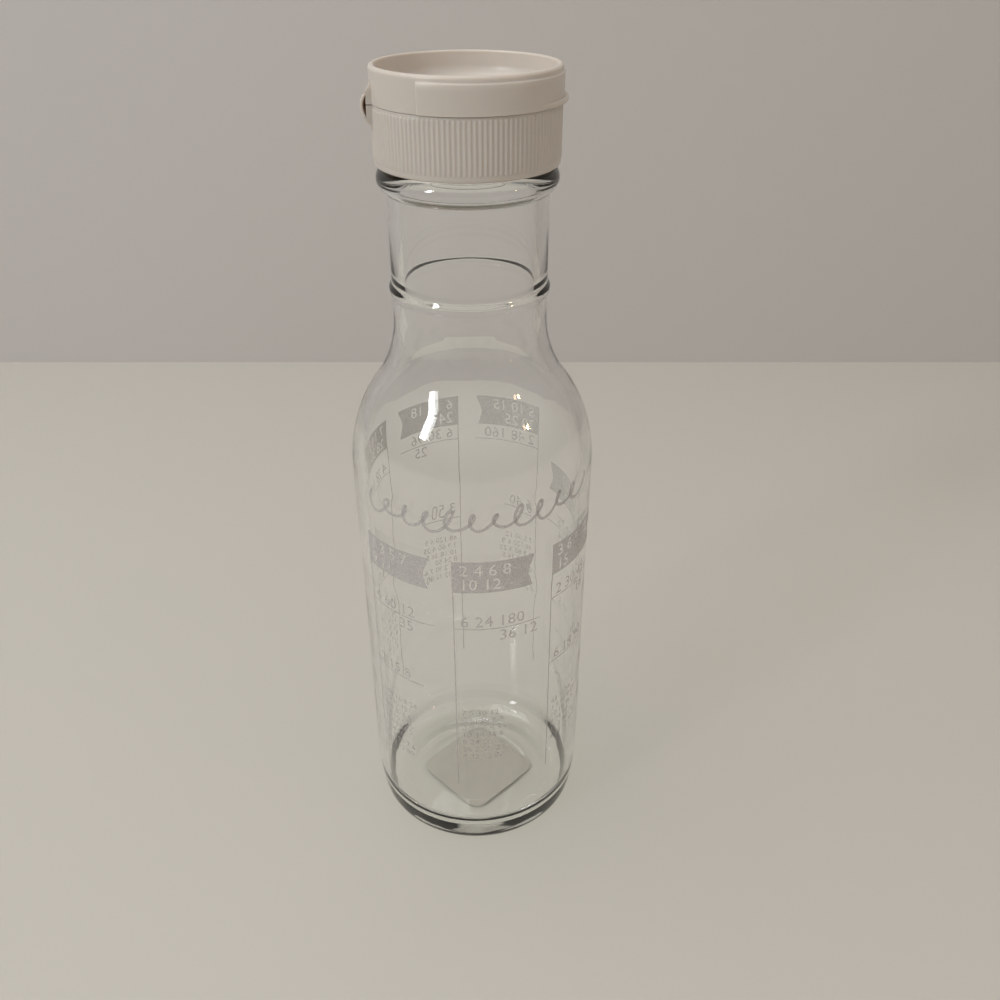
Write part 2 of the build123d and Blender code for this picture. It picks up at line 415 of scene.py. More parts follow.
def bead_outline():
    """The heavy rounded bead: one arc through its root, its widest place and its top."""
    low = Vector((neck_radius, bead_z - bead_half_height))
    mid = Vector((bead_radius, bead_z))
    top = Vector((finish_radius, bead_z + bead_half_height))
    turned_low, turned_top = low - mid, top - mid
    cross = 2 * (turned_low.x * turned_top.y - turned_low.y * turned_top.x)
    centre = Vector((
        (turned_top.y * turned_low.length_squared - turned_low.y * turned_top.length_squared) / cross,
        (turned_low.x * turned_top.length_squared - turned_top.x * turned_low.length_squared) / cross,
    ))
    radius = centre.length
    centre += mid
    start = math.degrees(math.atan2(low.y - centre.y, low.x - centre.x))
    end = math.degrees(math.atan2(top.y - centre.y, top.x - centre.x))
    points = arc(centre, radius, start, end, bead_steps)
    rounded_root = [(neck_radius, low.y - bead_root_bevel)]
    blend = Vector(points[1])
    for step in range(1, bead_root_steps):
        share = step / bead_root_steps
        corner = low
        a = Vector(rounded_root[0]).lerp(corner, share)
        b = corner.lerp(blend, share)
        rounded_root.append(tuple(a.lerp(b, share)))
    return rounded_root + points[1:]


def ring_outline():
    """The low ring round the neck, an arc that blends into the wall."""
    points = []
    for step in range(neck_ring_steps + 1):
        off = -1 + 2 * step / neck_ring_steps
        rise = neck_ring_step * smooth((1 - abs(off)) * neck_ring_fullness)
        points.append((neck_radius + rise, neck_ring_z + off * neck_ring_half_height))
    return points


def push_up_height(radius):
    """The height of the raised bottom: level in the middle, then an even slope with eased ends."""
    foot_in = heel_outline()[0][0] - bearing_width
    share = min(max((radius - foot_in) / push_up_side_run + 1, 0.0), 1.0)
    steepest = 1 / (1 - push_up_ease)
    if share < push_up_ease:
        fall = steepest * share**2 / (2 * push_up_ease)
    elif share > 1 - push_up_ease:
        fall = 1 - steepest * (1 - share) ** 2 / (2 * push_up_ease)
    else:
        fall = steepest * (share - push_up_ease / 2)
    return push_up_depth * (1 - fall)


def glass_outer_outline():
    """From the middle of the raised bottom round the heel and up the outside to the lip."""
    foot, heel = heel_outline()
    push_up_end = foot[0] - bearing_width
    push_up_start = push_up_end - push_up_side_run
    middle = (0, push_up_depth)
    outline = [middle] + run(middle, (push_up_start, push_up_depth), push_up_flat_steps)
    slope = run((push_up_start, 0), (push_up_end, 0), push_up_steps)
    outline += [(radius, push_up_height(radius)) for radius, _ in slope]
    outline += [foot] + heel
    body_heights = run((0, heel_height), (0, body_height), body_steps)
    outline += [(band_radius_at(z), z) for _, z in body_heights]
    band = band_radius - ink_room
    outline += shoulder_outline(band, body_height, shoulder_round, neck_round, neck_radius)
    outline += ring_outline()
    outline += bead_outline()
    finish_start = (finish_radius, bead_z + bead_half_height)
    finish_end = (finish_radius, lip_z - lip_round)
    outline += run(finish_start, finish_end, thread_wall_steps)
    outline += arc((finish_radius - lip_round, lip_z - lip_round), lip_round, 0, 90, round_steps)
    return outline


def glass_inner_outline():
    """From the lip down the bore, the shoulder and the wall to the middle of the floor."""
    wall_radius = body_radius - glass_wall
    lip_in = neck_bore_radius + lip_round
    outline = [(lip_in, lip_z)]
    outline += arc((lip_in, lip_z - lip_round), lip_round, 90, 180, round_steps)
    bore_top, bore_foot = (neck_bore_radius, lip_z - lip_round), (neck_bore_radius, neck_start_z)
    outline += run(bore_top, bore_foot, neck_steps)
    inner_rounds = (shoulder_round - glass_wall, neck_round + glass_wall)
    shoulder = shoulder_outline(wall_radius, body_height, *inner_rounds, neck_bore_radius)
    outline += shoulder[::-1] + [(wall_radius, body_height)]
    wall_foot = (wall_radius, floor_height + floor_corner_radius)
    outline += run((wall_radius, body_height), wall_foot, inner_wall_steps)
    corner = (wall_radius - floor_corner_radius, wall_foot[1])
    outline += arc(corner, floor_corner_radius, 0, -90, floor_corner_steps)
    outline += run((corner[0], floor_height), (0, floor_height), floor_flat_steps)
    return outline


def ridge_rise(off):
    """The rounded shape across a thread's ridge, by the distance from its middle in half widths."""
    return smooth(thread_ridge_fullness * (1 - off)) if off < 1 else 0.0


def thread_rise(angle, z, start_z, half_width):
    """0 to 1: how far up its thread's ridge a place on a threaded wall lies."""
    rise = 0.0
    for turn in range(math.ceil(thread_turns)):
        along = angle / math.tau + turn
        if along < thread_turns:
            off = abs(z - start_z - thread_pitch * along) / half_width
            fade = min(along, thread_turns - along) / thread_fade_turns
            rise = max(rise, smooth(fade) * ridge_rise(off))
    return rise


def add_thread(bm, low_z, high_z, wall_radius, start_z, depth, half_width):
    """Pushes one wall's vertices out, or in with a negative depth, along a right-handed thread."""
    for v in bm.verts:
        radius = math.hypot(v.co.x, v.co.y)
        if not low_z < v.co.z < high_z or abs(radius - wall_radius) > wall_tolerance:
            continue
        angle = math.atan2(v.co.y, v.co.x) % math.tau
        rise = thread_rise(angle, v.co.z, start_z, half_width)
        scale = (radius + depth * rise) / radius
        v.co.x *= scale
        v.co.y *= scale


def make_glass_bottle(material):
    bm = bmesh.new()
    spin_outline(bm, glass_outer_outline() + glass_inner_outline(), glass_steps)
    add_thread(
        bm,
        bead_z + bead_half_height,
        lip_z - lip_round,
        finish_radius,
        lip_z - glass_thread_drop,
        glass_thread_depth,
        glass_thread_half_width,
    )
    edges = glass_sharp_angle
    return finished("glass_bottle_look", bm, "bottle", "glass_bottle", material, edges)


# Print


def outer_radius_at(height):
    """The radius of the body's outer wall, from the heel's flare to the shoulder."""
    if height <= body_height:
        return band_radius_at(height)
    rise = min(height - body_height, shoulder_round)
    return band_radius - ink_room - shoulder_round + math.sqrt(shoulder_round**2 - rise**2)


def add_bar(bm, left, low, right, high):
    """A flat rectangle in the plane of the unrolled body."""
    corners = ((left, low), (right, low), (right, high), (left, high))
    bm.faces.new([bm.verts.new((x, z, 0)) for x, z in corners])


def digits_mesh(text, height):
    """A number as flat faces, with its lower left corner at the origin."""
    curve = bpy.data.curves.new("digits", "FONT")
    curve.body = text
    curve.size = height / digit_share_of_font
    curve.resolution_u = 2
    holder = bpy.data.objects.new("digits", curve)
    mesh = bpy.data.meshes.new_from_object(holder)
    bpy.data.objects.remove(holder)
    bpy.data.curves.remove(curve)
    return mesh


def add_digits(bm, text, height, left, low):
    """Adds a number's faces to the flat print and returns its vertices."""
    old = set(bm.verts)
    bm.from_mesh(digits_mesh(text, height))
    new = [v for v in bm.verts if v not in old]
    bmesh.ops.translate(bm, verts=new, vec=(left, low, 0))
    bmesh.ops.remove_doubles(bm, verts=new, dist=level_tolerance)
    return [v for v in bm.verts if v not in old]


def add_flag(bm, left, low, rows):
    """A flag with a waving end, and its two rows of numbers left open in it."""
    end = []
    for step in range(flag_end_steps + 1):
        share = step / flag_end_steps
        wave = flag_wave * math.cos(math.tau * share * flag_wave_turns) * (1 - flag_wave_fade * share)
        end.append((left + flag_length + wave, low + flag_height * (1 - share)))
    corners = [(left, low), (left, low + flag_height)] + end
    outline = [bm.verts.new((x, z, 0)) for x, z in corners]
    edges = [bm.edges.new(pair) for pair in zip(outline, outline[1:] + outline[:1])]
    gap = (flag_height - 2 * flag_row_height) / 3
    for row, text in enumerate(rows):
        row_low = low + gap + (1 - row) * (flag_row_height + gap)
        digits = add_digits(bm, text, flag_row_height, left + flag_text_inset, row_low)
        strokes = linked(digits, "link_edges")
        rims = [edge for edge in strokes if edge.is_boundary]
        inner = [edge for edge in strokes if not edge.is_boundary]
        bmesh.ops.delete(bm, geom=linked(digits, "link_faces"), context="FACES_ONLY")
        bmesh.ops.delete(bm, geom=inner, context="EDGES")
        edges += rims
    bmesh.ops.triangle_fill(bm, edges=edges, use_beauty=True)


def add_rows(bm, left, top, rows):
    """Rows of small plain numbers, in place of small print."""
    for number, row in enumerate(rows):
        add_digits(bm, row, small_digit_height, left, top - number * small_row_drop)


def add_strip(bm, points, width):
    """A flat strip of one width along a line of points that hold their own height over the glass."""
    rails = []
    last = len(points) - 1
    for number, point in enumerate(points):
        ahead = points[min(number + 1, last)] - points[max(number - 1, 0)]
        side = Vector((-ahead.y, ahead.x, 0)).normalized() * width / 2
        rails.append([bm.verts.new(point + sign * side) for sign in (1, -1)])
    for (a, b), (c, d) in zip(rails, rails[1:]):
        bm.faces.new((a, b, d, c))


def add_flourish(bm):
    """A running line of loops across the front, above the low flags.
    Each down stroke passes over the up stroke before it."""
    start, end = (math.radians(angle) * body_radius for angle in (flourish_start, flourish_end))
    pace = (end - start) / (math.tau * flourish_loops)
    first_beat, second_beat = loop_height_beats
    points = []
    for step in range(flourish_points + 1):
        turn = math.tau * flourish_loops * step / flourish_points
        swing = math.sin(first_beat * turn + loop_height_phase) * math.sin(second_beat * turn)
        rise = (loop_height + loop_height_swing * swing) * math.cos(turn)
        wide = pace * (loop_width + loop_width_swing * math.sin(loop_width_beat * turn))
        x = start + pace * turn - wide * math.sin(turn) + loop_slant * rise
        drift_angle = flourish_drift_turn * step / flourish_points + flourish_drift_phase
        drift = flourish_drift * math.sin(drift_angle)
        points.append(Vector((x, flourish_z + rise + drift, stroke_lift * (1 + math.sin(turn)))))
    add_strip(bm, points, stroke_width)


def column_left(number):
    """Where a column's line stands on the unrolled body."""
    return math.radians(first_column_angle + number * column_turn) * body_radius


def add_column(bm, number):
    """The large part of one column: its line, its flag and its filling lines with their numbers."""
    left = column_left(number)
    flag_z, flag_rows, lines, _ = columns[number]
    half = column_line_width / 2
    add_bar(bm, left - half, column_foot_z, left + half, flag_z)
    add_flag(bm, left - half, flag_z, flag_rows)
    for height, length, above, below in lines:
        low = height * mm
        add_bar(bm, left + half, low, left + length * mm, low + fill_line_width)
        add_digits(bm, above, fill_digit_height, left + fill_digit_inset, low + fill_digit_lift)
        if below:
            add_digits(bm, below, fill_digit_height, left + length * mm / 2, low - fill_digit_drop)


# For each column: the flag's foot, its two rows, the filling lines as (height, length, number above,
# number below) in millimetres, and the height of the top row of small numbers in millimetres
columns = (
    (low_flag_z, ("1 3 5 7", "9 11"), ((84, 22, "4 60 12", "35"), (62, 18, "2 15 8", "")), 52),
    (low_flag_z, ("2 4 6 8", "10 12"), ((84, 23.5, "6 24 180", "36 12"),), 54),
    (low_flag_z, ("3 6 9 12", "15"), ((88, 22, "2 30 45", "16"), (66, 20, "6 18 90", "")), 50),
    (low_flag_z, ("4 8 12", "16 20"), ((86, 22, "6 20 75", "44"), (58, 18, "1 10 5", "")), 47),
    (high_flag_z, ("5 10 15", "20 25"), ((107, 22, "2 48 160", ""), (84, 12, "6 40", "")), 74),
    (high_flag_z, ("6 12 18", "24"), ((107, 21, "6 30 96", "25"), (80, 14, "3 50", "")), 72),
    (high_flag_z, ("7 14 21", "28 35"), ((104, 21, "4 28 140", ""), (72, 18, "2 70 14", "")), 60),
)
small_rows = (
    "2 40 16 8 24",
    "7 5 30 12",
    "48 120 6 9",
    "3 9 60 4 25",
    "10 18 36 5",
    "8 24 50",
    "15 2 90 7 6",
    "4 32 12 80",
)


def cut_across(bm, place, across):
    """Cuts all of a flat form along one line, so that it can bend there."""
    parts = bm.faces[:] + bm.edges[:] + bm.verts[:]
    bmesh.ops.bisect_plane(bm, geom=parts, plane_co=place, plane_no=across)


def make_print(material):
    """All the print: the large part is made flat and cut across every short way, the small numbers and the
    flourish are fine enough as they are. Then all of it gets its thickness and is rolled round the body."""
    bm = bmesh.new()
    for number in range(column_count):
        add_column(bm, number)
    reach = math.pi * body_radius * cut_half_turns
    for step in range(int(-reach / ink_step), int(reach / ink_step) + 1):
        cut_across(bm, (step * ink_step, 0, 0), (1, 0, 0))
    for height in flag_cuts:
        cut_across(bm, (0, height, 0), (0, 1, 0))
    for number in range(column_count):
        first = number % 3
        rows_z = columns[number][3] * mm
        add_rows(bm, column_left(number) + small_row_inset, rows_z, small_rows[first:])
    add_flourish(bm)
    top = bmesh.ops.extrude_face_region(bm, geom=bm.faces[:])["geom"]
    raised = [v for v in top if isinstance(v, bmesh.types.BMVert)]
    bmesh.ops.translate(bm, verts=raised, vec=(0, 0, ink_thickness))
    for v in bm.verts:
        angle = v.co.x / body_radius
        radius = outer_radius_at(v.co.y) + ink_gap + v.co.z
        v.co = (radius * math.sin(angle), -radius * math.cos(angle), v.co.y)
    return finished("measure_print", bm, "bottle", None, material, glass_sharp_angle)


# Gasket and label


def make_gasket(material):
    """A flat ring with bevelled edges."""
    inner, outer = neck_bore_radius - gasket_lap, gasket_high.x
    low, high = gasket_low.z, gasket_high.z
    edge = gasket_bevel
    outline = [
        (inner + edge, low),
        (outer - edge, low),
        (outer, low + edge),
        (outer, high - edge),
        (outer - edge, high),
        (inner + edge, high),
        (inner, high - edge),
        (inner, low + edge),
    ]
    bm = bmesh.new()
    spin_outline(bm, outline, gasket_steps, closed=True)
    return finished("sealing_gasket_look", bm, "gasket", "sealing_gasket", material)


def make_label(material):
    """A square of paper with rounded corners, turned so that a corner points to the front, stuck to the
    raised bottom and bent with it."""
    reach = label_high.x - label_trim
    side = (reach + label_corner_radius * (math.sqrt(2) - 1)) * math.sqrt(2)
    bm = bmesh.new()
    bmesh.ops.create_grid(bm, x_segments=1, y_segments=1, size=side / 2)
    rounding = {"offset": label_corner_radius, "affect": "VERTICES", "segments": label_corner_steps}
    bmesh.ops.bevel(bm, geom=bm.verts[:], profile=0.5, material=-1, **rounding)
    bmesh.ops.rotate(bm, verts=bm.verts, matrix=Matrix.Rotation(math.radians(45), 3, "Z"))
    for step in range(-int(reach / label_cut), int(reach / label_cut) + 1):
        cut_across(bm, (step * label_cut, 0, 0), (1, 0, 0))
        cut_across(bm, (0, step * label_cut, 0), (0, 1, 0))
    bmesh.ops.translate(bm, verts=bm.verts, vec=(0, 0, label_low.z))
    top = bmesh.ops.extrude_face_region(bm, geom=bm.faces[:])["geom"]
    moved = [v for v in top if isinstance(v, bmesh.types.BMVert)]
    bmesh.ops.translate(bm, verts=moved, vec=(0, 0, label_high.z - label_glue - label_low.z))
    for v in bm.verts:
        v.co.z -= push_up_depth - push_up_height(math.hypot(v.co.x, v.co.y))
    return finished("base_label_look", bm, "bottle", "base_label", material)


# Screw cap


def rib_rise(angle, z):
    """How far a rib of the skirt stands out at a place."""
    low, high = cap_low.z + plain_band_height, cap_top_z - rib_top_gap
    ends = smooth(min(z - low, high - z) / rib_end_slope)
    place = (angle / math.tau * rib_count) % 1.0
    flank = (1 - rib_top_share - rib_root_share) / 2
    if place < rib_top_share:
        across = 1.0
    elif place < rib_top_share + flank:
        across = 1 - (place - rib_top_share) / flank
    elif place < 1 - flank:
        across = 0.0
    else:
        across = (place - 1 + flank) / flank
    return rib_depth * ends * smooth(across)


def pad_radius(angle, z, film, direction):
    """The radius of the flat pad that one end of the strap folds against, or 0 off the pad."""
    turn = abs(math.pi - angle)
    front = abs(film.x) - pad_set_back
    if turn > math.pi / 2 or front * math.tan(turn) > strap_width / 2:
        return 0.0
    off = (z - film.z) * direction
    if off > pad_height + pad_taper:
        return 0.0
    back = max(0.0, off - pad_height) if off > 0 else strap_thickness / 2 + strap_clearance - pad_set_back
    return (front - back) / math.cos(turn)


def levels(*stretches):
    """Heights for an upright wall, from stretches of (start, end, steps), each without its first."""
    heights = []
    for start, end, steps in stretches:
        heights += [start + (end - start) * (step + 1) / steps for step in range(steps)]
    return heights


def cap_outline():
    """From the deck's recess over the rim, down the skirt, round its foot and up its bore to the deck."""
    foot_z = cap_low.z
    band_z = foot_z + plain_band_height
    rib_end = cap_top_z - rib_top_gap
    rim_z = cap_top_z - skirt_top_round
    outline = [(deck_recess_radius, deck_top_z), (deck_recess_radius, cap_top_z - skirt_top_round)]
    outline += arc((deck_recess_radius + skirt_top_round, rim_z), skirt_top_round, 180, 90, edge_steps)
    outline += [(skirt_radius - skirt_top_round, cap_top_z)]
    outline += arc((skirt_radius - skirt_top_round, rim_z), skirt_top_round, 90, 0, edge_steps)
    pad_low = lower_film.z - pad_height - pad_taper
    heights = levels(
        (rim_z, rib_end, 1),
        (rib_end, rib_end - rib_end_slope, 3),
        (rib_end - rib_end_slope, lower_film.z + hair, 3),
        (lower_film.z + hair, lower_film.z - hair, 1),
        (lower_film.z - hair, lower_film.z - pad_height, 2),
        (lower_film.z - pad_height, pad_low, 4),
        (pad_low, band_z + rib_end_slope, 4),
        (band_z + rib_end_slope, band_z, 3),
        (band_z, foot_z + skirt_foot_round, 2),
    )
    outline += [(skirt_radius, z) for z in heights]
    foot = (skirt_radius - skirt_foot_round, foot_z + skirt_foot_round)
    outline += arc(foot, skirt_foot_round, 0, -90, small_round_steps)
    bore_edge = (cap_bore_radius + skirt_top_round, foot_z + skirt_top_round)
    outline += [(bore_edge[0], foot_z)]
    outline += arc(bore_edge, skirt_top_round, -90, -180, edge_steps)
    outline += run((cap_bore_radius, bore_edge[1]), (cap_bore_radius, deck_z), thread_wall_steps)
    return outline


def shape_skirt(bm):
    """Raises the ribs and the strap's lower pad on the skirt's outer wall."""
    for v in bm.verts:
        radius = math.hypot(v.co.x, v.co.y)
        if abs(radius - skirt_radius) > wall_tolerance:
            continue
        angle = math.atan2(v.co.y, v.co.x) % math.tau
        outer = radius + rib_rise(angle, v.co.z)
        outer = max(outer, pad_radius(angle, v.co.z, lower_film, -1))
        v.co.x *= outer / radius
        v.co.y *= outer / radius


def spout_outline():
    """The pour hole's raised ring, from the deck's top over its edge and down the hole."""
    outer = pour_hole_radius + spout_wall
    top = deck_top_z + spout_height
    outline = [(outer, deck_top_z), (outer, top - spout_round)]
    outline += arc((outer - spout_round, top - spout_round), spout_round, 0, 90, small_round_steps)
    inner = pour_hole_radius + spout_round
    outline += [(inner, top)]
    outline += arc((inner, top - spout_round), spout_round, 90, 180, small_round_steps)
    outline += [(pour_hole_radius, deck_z)]
    return outline


def make_screw_cap(material):
    """The turned cap with its ribs, pad and thread, and the pour hole through its deck."""
    bm = bmesh.new()
    spin_outline(bm, cap_outline(), skirt_steps)
    shape_skirt(bm)
    add_thread(
        bm,
        cap_low.z + 2 * skirt_top_round,
        deck_z - skirt_top_round,
        cap_bore_radius,
        lip_z - glass_thread_drop - cap_thread_lag,
        -cap_thread_depth,
        cap_thread_half_width,
    )
    spin_outline(bm, spout_outline(), small_steps, x=pour_hole_x)
    fill_level(bm, deck_top_z)
    fill_level(bm, deck_z)
    return finished("screw_cap_look", bm, "cap", "screw_cap", material)


# Flip lid


def panel_rise(angle, z):
    """How far the raised panel stands out, with a soft edge at its top and at both its ends."""
    turn = abs(math.pi - angle)
    along = (turn - panel_half_gap_angle) * lid_radius / panel_edge_round
    upward = (panel_top_z - z) / panel_edge_round
    return panel_step * smooth(along) * smooth(upward)


def tab_rise(angle, z):
    """How far the thumb tab stands out: a crescent with rounded edges, flush with the panel at its ends."""
    turn = min(angle, math.tau - angle)
    if turn > tab_half_angle or z > lid_bottom_z + tab_thickness:
        return 0.0
    panel_radius = lid_radius + panel_step
    tip = panel_radius + tab_reach
    centre = (tip**2 - panel_radius**2) / (2 * (tip - panel_radius * math.cos(tab_half_angle)))
    across = centre * math.sin(turn)
    reach = centre * math.cos(turn) + math.sqrt((tip - centre) ** 2 - across**2)
    edge = min(z - lid_bottom_z, lid_bottom_z + tab_thickness - z)
    short = min(max(0.0, tab_round - edge), tab_round)
    inset = tab_round - math.sqrt(tab_round**2 - short**2)
    return max(0.0, reach - lid_radius - inset)


def lid_outline():
    """From the middle of the dish over the rim, down the wall, round its foot and up to the underside."""
    rim_z = lid_top_z - lid_rim_round
    foot_z = lid_bottom_z + lid_foot_round
    tab_top = lid_bottom_z + tab_thickness
    corner = (dish_radius - dish_corner_radius, dish_floor_z + dish_corner_radius)
    middle = (0, dish_floor_z)
    outline = [middle] + run(middle, (corner[0], dish_floor_z), dish_flat_steps)
    outline += arc(corner, dish_corner_radius, -90, 0, dish_steps)
    inner_rim = (dish_radius + lid_rim_inner_round, lid_top_z - lid_rim_inner_round)
    outline += [(dish_radius, inner_rim[1])]
    outline += arc(inner_rim, lid_rim_inner_round, 180, 90, round_steps)
    outline += [(lid_radius - lid_rim_round, lid_top_z)]
    outline += arc((lid_radius - lid_rim_round, rim_z), lid_rim_round, 90, 0, round_steps)
    pad_top = upper_film.z + pad_height + pad_taper
    heights = levels(
        (rim_z, panel_top_z + hair, 1),
        (panel_top_z, panel_top_z - panel_edge_round, 4),
        (panel_top_z - panel_edge_round, pad_top, 2),
        (pad_top, upper_film.z + pad_height, 4),
        (upper_film.z + pad_height, upper_film.z + hair, 2),
        (upper_film.z + hair, upper_film.z - hair, 1),
        (upper_film.z - hair, tab_top + hair, 1),
        (tab_top + hair, tab_top - hair, 1),
        (tab_top - hair, tab_top - tab_round, 5),
        (tab_top - tab_round, lid_bottom_z + tab_round, 2),
        (lid_bottom_z + tab_round, foot_z, 4),
    )
    outline += [(lid_radius, z) for z in heights]
    outline += arc((lid_radius - lid_foot_round, foot_z), lid_foot_round, 0, -90, edge_steps)
    outline += [(dish_radius, lid_bottom_z), (dish_radius, lid_under_z)]
    return outline


def shape_lid_wall(bm):
    """Raises the panel, the thumb tab and the strap's upper pad on the lid's outer wall."""
    for v in bm.verts:
        radius = math.hypot(v.co.x, v.co.y)
        if v.co.z > lid_top_z - lid_rim_round or radius < lid_radius - 1.01 * lid_foot_round:
            continue
        angle = math.atan2(v.co.y, v.co.x) % math.tau
        outer = radius + max(panel_rise(angle, v.co.z), tab_rise(angle, v.co.z))
        outer = max(outer, pad_radius(angle, v.co.z, upper_film, 1))
        v.co.x *= outer / radius
        v.co.y *= outer / radius


def plug_outline():
    """The hollow plug under the lid, from the underside down round its end and up its bore."""
    outer = pour_hole_radius - plug_clearance
    end = lid_under_z - plug_length
    bore = outer - plug_wall
    return [
        (outer, lid_under_z),
        (outer, end + plug_lead),
        (outer - plug_lead * plug_lead_share, end + plug_lead * plug_lead_share),
        (outer - plug_lead, end),
        (bore, end),
        (bore, lid_under_z),
        (0, lid_under_z),
    ]


def make_flip_lid(material):
    """The turned lid with its panel, tab and pad, and the plug under it."""
    bm = bmesh.new()
    spin_outline(bm, lid_outline(), lid_steps)
    shape_lid_wall(bm)
    spin_outline(bm, plug_outline(), small_steps, x=pour_hole_x)
    fill_level(bm, lid_under_z)
    return finished("flip_lid_look", bm, "lid", "flip_lid", material)


# Hinge strap


def strap_centre_line(steps):
    """Points along the bowed strap's middle, from the lower film line to the upper one, with directions."""
    low = Vector((lower_film.x, lower_film.z))
    high = Vector((upper_film.x, upper_film.z))
    middle = (low + high) / 2 + Vector((-strap_bow, 0))
    half_chord = (high - low).length / 2
    radius = (half_chord**2 + strap_bow**2) / (2 * strap_bow)
    centre = middle + Vector((radius, 0))
    start = math.atan2(low.y - centre.y, low.x - centre.x) % math.tau
    end = math.atan2(high.y - centre.y, high.x - centre.x) % math.tau
    line = []
    for step in range(steps + 1):
        angle = start + (end - start) * step / steps
        out = Vector((math.cos(angle), math.sin(angle)))
        line.append((centre + radius * out, out))
    return line


def make_hinge_strap(material):
    """A bowed strip with rounded ends that lie on the two film lines."""
    half = strap_thickness / 2
    line = strap_centre_line(strap_steps)
    section = [point + out * half for point, out in line]
    section += rounded_end(line[-1], half)
    section += [point - out * half for point, out in reversed(line)]
    section += rounded_end((line[0][0], -line[0][1]), half)
    bm = bmesh.new()
    verts = [bm.verts.new((p.x, -strap_width / 2, p.y)) for p in section]
    face = bm.faces.new(verts)
    far = bmesh.ops.extrude_face_region(bm, geom=[face])["geom"]
    moved = [v for v in far if isinstance(v, bmesh.types.BMVert)]
    bmesh.ops.translate(bm, verts=moved, vec=(0, strap_width, 0))
    sides = [e for e in bm.edges if abs(e.verts[0].co.y - e.verts[1].co.y) < wall_tolerance]
    rounding = {"offset": strap_edge_round, "affect": "EDGES", "segments": 3}
    bmesh.ops.bevel(bm, geom=sides, profile=0.5, material=-1, **rounding)
    return finished("hinge_strap_look", bm, "strap", "hinge_strap", material)


def rounded_end(place, half):
    """Points of a half circle past one end of the strap's line."""
    point, out = place
    ahead = Vector((out.y, -out.x))
    points = []
    for step in range(1, strap_end_steps):
        angle = math.pi * step / strap_end_steps
        points.append(point + half * (out * math.cos(angle) + ahead * math.sin(angle)))
    return points


# Materials


noise_middle = (0.3, 0.7)


def shader_of(name):
    """A new material with its tree and its surface shader."""
    material = bpy.data.materials.new(name)
    material.use_nodes = True
    return material, material.node_tree, material.node_tree.nodes["Principled BSDF"]


def noise_on(tree, scale, detail=2.0):
    """Noise on the object's own coordinates, with its scale in waves a metre."""
    place = tree.nodes.new("ShaderNodeTexCoord")
    texture = tree.nodes.new("ShaderNodeTexNoise")
    texture.inputs["Scale"].default_value = scale
    texture.inputs["Detail"].default_value = detail
    tree.links.new(place.outputs["Object"], texture.inputs["Vector"])
    return texture.outputs["Fac"]


def between(tree, factor, low, high):
    """A value that follows the middle part of a noise from low to high."""
    node = tree.nodes.new("ShaderNodeMapRange")
    node.inputs["From Min"].default_value = noise_middle[0]
    node.inputs["From Max"].default_value = noise_middle[1]
    node.inputs["To Min"].default_value = low
    node.inputs["To Max"].default_value = high
    tree.links.new(factor, node.inputs["Value"])
    return node.outputs["Result"]


def blend_colours(tree, factor, first, second):
    """A colour that goes from the first to the second with a noise."""
    node = tree.nodes.new("ShaderNodeMix")
    node.data_type = "RGBA"
    node.inputs["A"].default_value = (*first, 1)
    node.inputs["B"].default_value = (*second, 1)
    tree.links.new(factor, node.inputs["Factor"])
    return node.outputs["Result"]


def add_bump(tree, shader, height, distance):
    """Lets a noise raise the surface by up to a distance."""
    node = tree.nodes.new("ShaderNodeBump")
    node.inputs["Distance"].default_value = distance
    tree.links.new(height, node.inputs["Height"])
    tree.links.new(node.outputs["Normal"], shader.inputs["Normal"])


def glass_finish():
    """Clear soda-lime glass with a faint green body, slight waves, and a clear shadow."""
    body_colour, body_density = (0.35, 0.5, 0.33, 1), 5.0
    shadow_colour = (0.965, 0.97, 0.96, 1)
    smear_scale, smear_roughness = 60, 0.02
    wave_scale, wave_detail, wave_height = 90, 1.5, 0.045 * mm
    material, tree, shader = shader_of("clear_glass_finish")
    shader.inputs["Base Color"].default_value = (1.0, 1.0, 1.0, 1)
    shader.inputs["Transmission Weight"].default_value = 1.0
    shader.inputs["IOR"].default_value = 1.52
    smear = between(tree, noise_on(tree, smear_scale), 0.0, smear_roughness)
    tree.links.new(smear, shader.inputs["Roughness"])
    add_bump(tree, shader, noise_on(tree, wave_scale, wave_detail), wave_height)
    clear = tree.nodes.new("ShaderNodeBsdfTransparent")
    clear.inputs["Color"].default_value = shadow_colour
    path = tree.nodes.new("ShaderNodeLightPath")
    choice = tree.nodes.new("ShaderNodeMixShader")
    output = tree.nodes["Material Output"]
    either = tree.nodes.new("ShaderNodeMath")
    either.operation = "MAXIMUM"
    tree.links.new(path.outputs["Is Shadow Ray"], either.inputs[0])
    tree.links.new(path.outputs["Is Diffuse Ray"], either.inputs[1])
    tree.links.new(either.outputs[0], choice.inputs[0])
    tree.links.new(shader.outputs[0], choice.inputs[1])
    tree.links.new(clear.outputs[0], choice.inputs[2])
    tree.links.new(choice.outputs[0], output.inputs["Surface"])
    body = tree.nodes.new("ShaderNodeVolumeAbsorption")
    body.inputs["Color"].default_value = body_colour
    body.inputs["Density"].default_value = body_density
    tree.links.new(body.outputs[0], output.inputs["Volume"])
    return material


